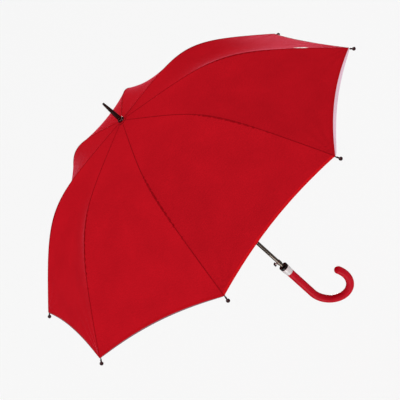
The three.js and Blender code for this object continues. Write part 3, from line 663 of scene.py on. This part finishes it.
def seam_strip(number):
    """The raised seam over a rib, its wider tape under the cloth, and a row of stitches along its ridge."""
    azimuth = spoke_azimuth(number)
    radii = np.linspace(9 * MM, CORNER_RADIUS - 0.5 * MM, 90)
    slope = canopy_slope(radii)
    lean = np.sqrt(1 + slope ** 2)
    normal = np.stack([slope / lean, 0 * slope, 1 / lean], -1)
    line = np.stack([radii, 0 * radii, APEX_Z - canopy_drop(radii)], -1)
    section = [(-1.0, -0.5), (-0.9, 0.25), (-0.45, 0.45), (0.45, 0.45), (0.9, 0.25), (1.0, -0.5),
               (2.6, -1.1), (2.6, -1.35), (-2.6, -1.35), (-2.6, -1.1)]
    sides = len(section)
    grow = np.clip(radii / (90 * MM), 0.3, 1)
    points = []
    for place, n, size in zip(line, normal, grow):
        for y, height in section:
            widest = max(abs(y), 1e-9)
            inset = y * size if widest > 2 else y * (0.6 + 0.4 * size)
            points.append(place + np.array([0, inset * MM, 0]) + n * height * MM)
    faces = []
    for ring in range(len(radii) - 1):
        for step in range(sides):
            follow = (step + 1) % sides
            a, b = ring * sides, (ring + 1) * sides
            faces.append((a + step, a + follow, b + follow, b + step))
    faces.append(tuple(reversed(range(sides))))
    faces.append(tuple(range((len(radii) - 1) * sides, len(radii) * sides)))
    slots = [0] * len(faces)
    for index in range(20, 560, 1):
        arc_at = index * 4.2 * MM * 0.25
        if index % 4:
            continue
        add_stitch(points, faces, slots, arc_at, 1)
    strip = add_object(f"seam_{number}", spoke_to_row(points, azimuth), faces, [SEAM_TAPE, THREAD], slots)
    face_out(strip)
    add_box_uv(strip)
    elbow = np.array([ELBOW_RADIUS, 0, APEX_Z - canopy_drop(ELBOW_RADIUS)])
    span = np.array([14 * MM, 0, -14 * MM * canopy_slope(ELBOW_RADIUS)])
    row_vector(elbow - span, azimuth)
    row_vector(elbow + span, azimuth)
    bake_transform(strip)
    return strip


def add_stitch(points, faces, slots, arc_at, material):
    """A stitch: a small rounded bar lying along the seam's ridge."""
    radius = float(np.interp(arc_at, ARC_TABLE, RADIUS_TABLE))
    if radius < 14 * MM or radius > CORNER_RADIUS - 3 * MM:
        return
    slope = float(canopy_slope(radius))
    lean = math.hypot(1, slope)
    along = np.array([1 / lean, 0, -slope / lean])
    normal = np.array([slope / lean, 0, 1 / lean])
    center = np.array([radius, 0, APEX_Z - float(canopy_drop(radius))]) + normal * 0.47 * MM
    base = len(points)
    for end, size in ((-1.3, 0.08), (-0.9, 0.2), (0.9, 0.2), (1.3, 0.08)):
        for step in range(6):
            angle = math.pi * step / 3
            offset = np.array([0, math.cos(angle) * size * MM, 0]) + normal * math.sin(angle) * size * MM
            points.append(center + along * end * MM + offset)
    for ring in range(3):
        for step in range(6):
            follow = (step + 1) % 6
            a, b = base + ring * 6, base + (ring + 1) * 6
            faces.append((a + step, a + follow, b + follow, b + step))
            slots.append(material)
    faces.append(tuple(base + step for step in reversed(range(6))))
    faces.append(tuple(base + 18 + step for step in range(6)))
    slots.extend([material, material])


def add_box_uv(thing):
    """UVs in metres from the mesh's own X and Y, enough for a weave on small cloth pieces."""
    layer = thing.data.uv_layers.new(name="UVMap")
    corners = np.zeros(len(thing.data.loops), np.int32)
    thing.data.loops.foreach_get("vertex_index", corners)
    points = np.zeros(len(thing.data.vertices) * 3)
    thing.data.vertices.foreach_get("co", points)
    flat = points.reshape(-1, 3)[corners][:, [0, 1]]
    layer.data.foreach_set("uv", flat.astype(np.float32).reshape(-1))


def make_label():
    """A small blank woven label sewn flat on the gore beside rib 1, near its edge."""
    rows, columns = 6, 14
    from_corner = np.linspace(122 * MM, 96 * MM, columns)[None, :]
    radius = np.broadcast_to(CORNER_RADIUS - from_corner * 0.72, (rows, columns))
    out = np.linspace(3 * MM, 25 * MM, rows)[:, None]
    share = out / (radius * math.sin(RIB_STEP))
    local = gore_point(radius, share, 1) + gore_normals(radius, share, 1) * 0.5 * MM
    uv = np.stack([np.broadcast_to(from_corner, radius.shape), np.broadcast_to(out, radius.shape)], -1)
    points = spoke_to_row(local, spoke_azimuth(1))
    normals = spoke_to_row(gore_normals(radius, share, 1), spoke_azimuth(1))
    label = sheet_mesh("sewn_label", points[:, ::-1], uv[:, ::-1], 0.4 * MM, [LABEL], None, normals[:, ::-1])
    face_out(label)
    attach(label, "outer_rib_1")
    fold_with_rib(label, spoke_azimuth(1), 1, True)


def make_canopy():
    for number in range(1, RIB_COUNT + 1):
        for side in (1, -1):
            half_gore(number, side, False)
            half_gore(number, side, True)
        seam_strip(number)


# ---------------------------------------------------------------- ferrule end


def make_rosette():
    """A small disc of canopy cloth, gathered into ripples round the ferrule's foot."""
    low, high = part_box("top_rosette")
    outer_radius = (high.x - low.x) / 2
    columns, rows = 96, 9
    angle = np.linspace(0, 2 * math.pi, columns)[None, :]
    radius = np.linspace(4.4 * MM, outer_radius, rows)[:, None]
    ripple = 0.55 * MM * np.sin(angle * 16) * (radius / outer_radius) ** 2
    reach = radius + 0.35 * MM * np.sin(angle * 16 + 1.2) * (radius / outer_radius) ** 3
    height = APEX_Z - TOP_SLOPE * radius + 1.25 * MM + ripple
    points = np.stack([reach * np.cos(angle), reach * np.sin(angle), height + 0 * angle], -1)
    uv = np.stack([radius * np.cos(angle), radius * np.sin(angle)], -1)
    rosette = sheet_mesh("rosette_cloth", points, uv, 0.4 * MM, [CANOPY])
    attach(rosette, "shaft")
    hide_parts("top_rosette")


def make_ferrule():
    low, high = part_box("ferrule")
    base = APEX_Z + 7.1 * MM
    tip = high.z
    wide, narrow = 5.9 * MM, 2.8 * MM
    outline = [(0, low.z), (3.9 * MM, low.z), (3.9 * MM, base), (wide - 0.5 * MM, base), (wide, base + 0.5 * MM)]
    outline += [(wide, base + 3.4 * MM), (wide - 0.35 * MM, base + 3.8 * MM), (wide - 0.1 * MM, base + 4.4 * MM)]
    start = base + 5 * MM
    for step in range(1, 13):
        share = step / 12
        bulge = 0.25 * MM * math.sin(math.pi * share)
        outline.append((wide + (narrow - wide) * share + bulge, start + (tip - 2.2 * MM - start) * share))
    outline += arc(narrow - 1.4 * MM, tip - 1.4 * MM, 1.4 * MM, 0, 90, 5)
    outline.append((0, tip))
    ferrule = turned("ferrule_spike", outline, 40, FERRULE_WOOD)
    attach(ferrule, "shaft")
    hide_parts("ferrule")


def make_ferrule_cap():
    low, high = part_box("ferrule_cap")
    radius = high.x
    bottom = low.z
    top = high.z
    outline = [(4.3 * MM, bottom), (radius - 0.5 * MM, bottom)]
    outline += arc(radius - 0.6 * MM, bottom + 0.6 * MM, 0.6 * MM, -90, 0, 4)
    outline += [(radius, bottom + 1.6 * MM), (radius - 0.5 * MM, bottom + 2.0 * MM)]
    outline += arc(radius - 3.4 * MM, bottom + 2.2 * MM, 3.0 * MM, 0, 78, 7)
    outline += [(4.3 * MM, top - 0.2 * MM)]
    cap = turned("ferrule_foot_cap", outline, 48, CAP_PLASTIC)
    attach(cap, "shaft")
    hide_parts("ferrule_cap")


# ---------------------------------------------------------------- rib tips


def make_rib_tips():
    """Each tip is a sleeve on the rib's end, a thin waist where the canopy's corner is sewn on, and a ball."""
    ball = 4.75 * MM
    sleeve_start = 12 * MM
    for number in range(1, RIB_COUNT + 1):
        azimuth = spoke_azimuth(number)
        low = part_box(f"rib_tip_{number}")[0]
        outline = [(0, 9.4 * MM), (1.7 * MM, 9.2 * MM), (1.7 * MM, 3 * MM), (2.0 * MM, 2.7 * MM)]
        outline += [(2.25 * MM, 3 * MM), (2.25 * MM, 4.2 * MM), (1.9 * MM, 4.6 * MM), (1.9 * MM, 7.6 * MM)]
        outline += arc(0, sleeve_start, ball, -64, 90, 14)
        outline[-1] = (0, sleeve_start + ball)
        tip = turned(f"tip_ball_{number}", outline, 28, TIP_PLASTIC)
        # the tip's lowest point is the ball's
        center = Vector((TIP_RADIUS, 0, low.z + ball))
        slope = math.atan(canopy_slope(0.515))
        direction = Vector((math.cos(slope), 0, -math.sin(slope)))
        turn = Vector((0, 0, 1)).rotation_difference(direction).to_matrix().to_4x4()
        place = Matrix.Rotation(azimuth, 4, "Z") @ Matrix.Translation(center) @ turn
        tip.data.transform(place @ Matrix.Translation((0, 0, -sleeve_start)))
        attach(tip, f"outer_rib_{number}")
        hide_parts(f"rib_tip_{number}")


# ---------------------------------------------------------------- shaft and what is on it


def make_shaft_tube():
    """The shaft: a round tube with two long slots for the runner's cross pin."""
    low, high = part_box("shaft_tube")
    outer, inner = high.x, high.x - 0.8 * MM
    half_slot = 1.4 * MM
    pin = RUNNER_PIVOT_Z - 30 * MM
    slot_top = pin + 2 * MM
    slot_bottom = pin - 427 * MM
    angles = []
    edge = math.asin(half_slot / outer)
    for middle in (math.pi / 2, 3 * math.pi / 2):
        start = middle - math.pi + edge
        angles += list(np.linspace(start, middle - edge, 21))
    heights = [low.z, slot_bottom, slot_top, high.z]
    count = len(angles)
    points = []
    for radius in (outer, inner):
        for height in heights:
            for angle in angles:
                points.append((radius * math.cos(angle), radius * math.sin(angle), height))

    def at(layer, level, step):
        return (layer * len(heights) + level) * count + step % count

    gaps = (20, 41)
    faces = []
    for level in range(len(heights) - 1):
        for step in range(count):
            if level == 1 and step in gaps:
                continue
            a, b = (level, step), (level, step + 1)
            c, d = (level + 1, step + 1), (level + 1, step)
            faces.append((at(0, *a), at(0, *b), at(0, *c), at(0, *d)))
            faces.append((at(1, *d), at(1, *c), at(1, *b), at(1, *a)))
    for level in (0, 3):
        for step in range(count):
            faces.append((at(0, level, step), at(0, level, step + 1), at(1, level, step + 1), at(1, level, step)))
    for step in gaps:
        for level in (1, 2):
            faces.append((at(0, level, step), at(0, level, step + 1), at(1, level, step + 1), at(1, level, step)))
        for wall in (step, step + 1):
            faces.append((at(0, 1, wall), at(0, 2, wall), at(1, 2, wall), at(1, 1, wall)))
    tube = add_object("shaft_fine_tube", points, faces, [SHAFT_METAL])
    face_out(tube)
    tube.data.set_sharp_from_angle(angle=math.radians(35))
    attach(tube, "shaft")
    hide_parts("shaft_tube")


def make_spring():
    """The opening spring inside the shaft, as a coil of fixed length; it is not shortened here as the runner comes
    down.
    """
    low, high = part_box("opening_spring")
    turns, per_turn = 46, 20
    steps = turns * per_turn
    share = np.linspace(0, 1, steps + 1)
    angle = share * turns * 2 * math.pi
    radius = 3.2 * MM
    line = np.stack([radius * np.cos(angle), radius * np.sin(angle), low.z + (high.z - low.z) * share], -1)
    points, faces = tube_along(line, np.full(len(line), 0.42 * MM), 8, (0, 0, 1))
    spring = add_object("coil_spring", points, faces, [SPRING_STEEL])
    face_out(spring)
    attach(spring, "shaft")
    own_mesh(spring)
    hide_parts("opening_spring")


def make_cup():
    low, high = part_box("tip_cup")
    radius, bore = high.x, 5.3 * MM
    bottom, top = low.z, high.z
    outline = [(bore, bottom), (radius - 0.8 * MM, bottom), (radius - 0.4 * MM, bottom + 0.4 * MM)]
    outline += arc(radius - 0.5 * MM, top - 0.5 * MM, 0.5 * MM, 0, 180, 8)
    outline += [(radius - 1.3 * MM, top - 2.2 * MM), (radius - 2.6 * MM, top - 3 * MM)]
    outline += [(6.6 * MM, top - 3 * MM), (6.2 * MM, top - 2.2 * MM), (bore, top - 2.0 * MM)]
    cup = turned("tip_cup_ring", outline, 56, BLACK_PLASTIC)
    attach(cup, "shaft")
    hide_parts("tip_cup")


def make_collar():
    low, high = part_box("handle_collar")
    wide, narrow, bore = high.x, 10.7 * MM, 5.3 * MM
    bottom, top = low.z, high.z
    outline = [(bore, bottom), (narrow - 0.3 * MM, bottom), (narrow, bottom + 0.3 * MM)]
    outline += [(narrow + 0.05 * MM, bottom + 2.0 * MM), (narrow - 0.2 * MM, bottom + 2.2 * MM)]
    outline += [(narrow - 0.2 * MM, bottom + 2.6 * MM), (narrow + 0.1 * MM, bottom + 2.8 * MM)]
    for step in range(1, 9):
        share = step / 8
        swell = 0.25 * MM * math.sin(math.pi * share)
        height = bottom + 3 * MM + (top - bottom - 4.5 * MM) * share
        outline.append((narrow + (wide - narrow) * share + swell, height))
    outline += arc(wide - 0.6 * MM, top - 0.6 * MM, 0.6 * MM, 0, 90, 5)
    outline += [(bore, top)]
    collar = turned("collar_ring", outline, 64, CHROME)
    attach(collar, "shaft")
    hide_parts("handle_collar")


def make_button():
    """A square cap with rounded edges on a plated stem, in a guide on a ring round the shaft."""
    low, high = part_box("push_button")
    middle_z = (low.z + high.z) / 2
    size = high.z - low.z
    cap_outer = low.x
    work = bmesh.new()
    bmesh.ops.create_cube(work, size=1)
    bmesh.ops.scale(work, vec=(4 * MM, size, size), verts=work.verts)
    bmesh.ops.bevel(work, geom=list(work.edges), offset=1.1 * MM, segments=4, profile=0.6, affect="EDGES")
    bmesh.ops.translate(work, vec=(cap_outer + 2 * MM, 0, middle_z), verts=work.verts)
    mesh = bpy.data.meshes.new("button_cap")
    work.to_mesh(mesh)
    work.free()
    mesh.materials.append(BUTTON_PLASTIC)
    mesh.shade_smooth()
    cap = bpy.data.objects.new("button_cap", mesh)
    SCENE.collection.objects.link(cap)
    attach(cap, "button")
    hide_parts("push_button")
    to_side = Matrix.Translation((0, 0, middle_z)) @ Matrix.Rotation(-math.pi / 2, 4, "Y")
    stem_outline = [(0, 8.12 * MM), (1.8 * MM, 8.12 * MM), (2 * MM, 8.3 * MM), (2 * MM, 10.25 * MM)]
    stem_outline += [(2.4 * MM, 10.4 * MM), (2.4 * MM, 10.9 * MM), (0, 10.9 * MM)]
    stem = turned("button_stem", stem_outline, 28, CHROME)
    stem.data.transform(to_side)
    face_out(stem)
    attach(stem, "button")


def make_catch_bracket():
    low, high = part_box("catch_bracket")
    bore, outer = 5.15 * MM, 6.3 * MM
    outline = [(bore, low.z), (outer - 0.3 * MM, low.z), (outer, low.z + 0.3 * MM)]
    outline += [(outer, high.z - 0.3 * MM), (outer - 0.3 * MM, high.z), (bore, high.z)]
    ring = turned("catch_ring", outline, 48, SHAFT_METAL)
    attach(ring, "shaft")
    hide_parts("catch_bracket")
    button_low, button_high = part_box("push_button")
    middle_z = (button_low.z + button_high.z) / 2
    guide_outline = [(2.3 * MM, 6.0 * MM), (3.4 * MM, 6.0 * MM), (3.2 * MM, 6.6 * MM), (3.2 * MM, 8.1 * MM)]
    guide_outline += [(2.9 * MM, 8.4 * MM), (2.3 * MM, 8.4 * MM)]
    guide = turned("button_guide", guide_outline, 32, CHROME)
    guide.data.transform(Matrix.Translation((0, 0, middle_z)) @ Matrix.Rotation(-math.pi / 2, 4, "Y"))
    face_out(guide)
    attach(guide, "shaft")


# ---------------------------------------------------------------- handle

GRIP_RADIUS = 10.5 * MM
CROOK_RADIUS = 55.7 * MM
CROOK_SWEEP = math.radians(206)
GRIP_BEND_Z = -41 * MM


def crook_line(distance, top):
    """The grip's centre line and the direction to the inside of the bend, at a distance from its top."""
    straight = top - GRIP_BEND_Z
    if distance < straight:
        return np.array([0, 0, top - distance]), np.array([1.0, 0, 0]), np.array([0, 0, -1.0])
    angle = math.pi + (distance - straight) / CROOK_RADIUS
    center = np.array([CROOK_RADIUS, 0, GRIP_BEND_Z])
    spoke = np.array([math.cos(angle), 0, math.sin(angle)])
    along = np.array([-math.sin(angle), 0, math.cos(angle)])
    return center + CROOK_RADIUS * spoke, -spoke, along


def make_handle():
    """The leatherette grip: one sweep with a sewn seam on the inside of the bend and a rounded end."""
    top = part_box("handle_grip")[1].z
    length = top - GRIP_BEND_Z + CROOK_RADIUS * CROOK_SWEEP
    sides = 72
    stations = [(0.0, 0.90), (0.25 * MM, 0.965), (0.8 * MM, 1.0)]
    stations += [(distance, 1.0) for distance in np.linspace(4 * MM, length, 130)]
    for step in range(1, 12):
        angle = math.pi / 2 * step / 11
        stations.append((length + GRIP_RADIUS * math.sin(angle), max(math.cos(angle), 0.02)))
    points, faces = [], []
    for distance, size in stations:
        held = min(distance, length)
        center, inside, along = crook_line(held, top)
        center = center + along * (distance - held)
        across = np.cross(inside, along)
        for step in range(sides):
            angle = 2 * math.pi * step / sides
            around = (angle + math.pi) % (2 * math.pi) - math.pi
            offset = abs(around) * GRIP_RADIUS
            groove = 0.5 * MM * math.exp(-(offset / (0.55 * MM)) ** 2)
            welt = 0.22 * MM * math.exp(-((offset - 1.5 * MM) / (0.8 * MM)) ** 2)
            radius = (GRIP_RADIUS - groove + welt) * size
            points.append(center + radius * (math.cos(angle) * inside + math.sin(angle) * across))
    for ring in range(len(stations) - 1):
        for step in range(sides):
            follow = (step + 1) % sides
            a, b = ring * sides, (ring + 1) * sides
            faces.append((a + step, a + follow, b + follow, b + step))
    faces.append(tuple(reversed(range(sides))))
    faces.append(tuple(range((len(stations) - 1) * sides, len(stations) * sides)))
    slots = [0] * len(faces)
    count = int((length - 10 * MM) / (3.6 * MM))
    for index in range(count):
        distance = 6 * MM + index * 3.6 * MM
        center, inside, along = crook_line(distance, top)
        across = np.cross(inside, along)
        for hand in (1, -1):
            spot = center + inside * (GRIP_RADIUS + 0.12 * MM) + across * hand * 1.5 * MM
            spot = spot - inside * 0.1 * MM
            base = len(points)
            for end, size in ((-1.2, 0.1), (-0.8, 0.24), (0.8, 0.24), (1.2, 0.1)):
                for step in range(6):
                    angle = math.pi * step / 3
                    offset = across * math.cos(angle) * size * MM + inside * math.sin(angle) * size * MM
                    points.append(spot + along * end * MM + offset)
            for ring in range(3):
                for step in range(6):
                    follow = (step + 1) % 6
                    a, b = base + ring * 6, base + (ring + 1) * 6
                    faces.append((a + step, a + follow, b + follow, b + step))
                    slots.append(1)
            faces.append(tuple(base + step for step in reversed(range(6))))
            faces.append(tuple(base + 18 + step for step in range(6)))
            slots.extend([1, 1])
    handle = add_object("crook_handle", points, faces, [LEATHER, LEATHER_SEAM], slots)
    face_out(handle)
    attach(handle, "shaft")
    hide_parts("handle_grip")


# ---------------------------------------------------------------- CAD nodes that stay, with their materials


def dress(node, material):
    slots = frame["nodes"][node].data.materials
    slots.clear()
    slots.append(material)


def dress_frame():
    for number in range(1, RIB_COUNT + 1):
        dress(f"rib_inner_{number}", RIB_STEEL)
        dress(f"rib_outer_{number}", FIBREGLASS)
        dress(f"stretcher_{number}", RIB_STEEL)
    dress("top_notch", BLACK_PLASTIC)
    dress("runner", BLACK_PLASTIC)
    dress("notch_wire", RIB_STEEL)
    dress("runner_wire", RIB_STEEL)
    dress("spring_plunger", RIB_STEEL)
    dress("spring_stop", BLACK_PLASTIC)


# ---------------------------------------------------------------- stage and light


# The studio's walls light everything evenly, and reflect as dimmer than they are, as round a product table
WORLD_LIGHT = 0.48
WORLD_REFLECTION = 0.12


def make_stage():
    size = 60
    floor_z = -2.0
    points = [(-size, -size, floor_z), (size, -size, floor_z), (size, size, floor_z), (-size, size, floor_z)]
    floor = add_object("floor", points, [(0, 1, 2, 3)], [Nodes("pale_floor", (0.98, 0.98, 0.98, 1), 1.0).material])
    floor.visible_glossy = False
    floor.visible_shadow = False
    world = bpy.data.worlds.new("studio")
    world.use_nodes = True
    tree = world.node_tree
    background = tree.nodes["Background"]
    background.inputs["Color"].default_value = (1, 1, 1, 1)
    ray = tree.nodes.new("ShaderNodeLightPath")
    strength = tree.nodes.new("ShaderNodeMapRange")
    strength.inputs["To Min"].default_value = WORLD_LIGHT
    strength.inputs["To Max"].default_value = WORLD_REFLECTION
    tree.links.new(ray.outputs["Is Glossy Ray"], strength.inputs["Value"])
    tree.links.new(strength.outputs["Result"], background.inputs["Strength"])
    SCENE.world = world
    SCENE.view_settings.view_transform = "Standard"


def aim_light(name, direction, energy, softness):
    """A sun, softened to an angle in degrees, that shines from a direction on the umbrella's middle."""
    data = bpy.data.lights.new(name, "SUN")
    data.energy = energy
    data.angle = math.radians(softness)
    light = bpy.data.objects.new(name, data)
    SCENE.collection.objects.link(light)
    away = Vector(direction)
    light.location = Vector((0, 0, 0.4)) + away
    light.rotation_euler = (-away).to_track_quat("-Z", "Y").to_euler()


def make_lights():
    aim_light("key", (-0.8, -1.6, 2.6), 0.9, 24)
    aim_light("top", (0.6, 0.5, 3.0), 0.8, 30)
    aim_light("rim", (-0.3, 1.0, -0.15), 1.0, 20)
    aim_light("low_softbox", (-0.16, -0.89, -0.44), 0.5, 26)


make_stage()
make_lights()
make_canopy()
make_label()
make_rosette()
make_ferrule()
make_ferrule_cap()
make_rib_tips()
make_shaft_tube()
make_spring()
make_cup()
make_collar()
make_button()
make_catch_bracket()
make_handle()
dress_frame()
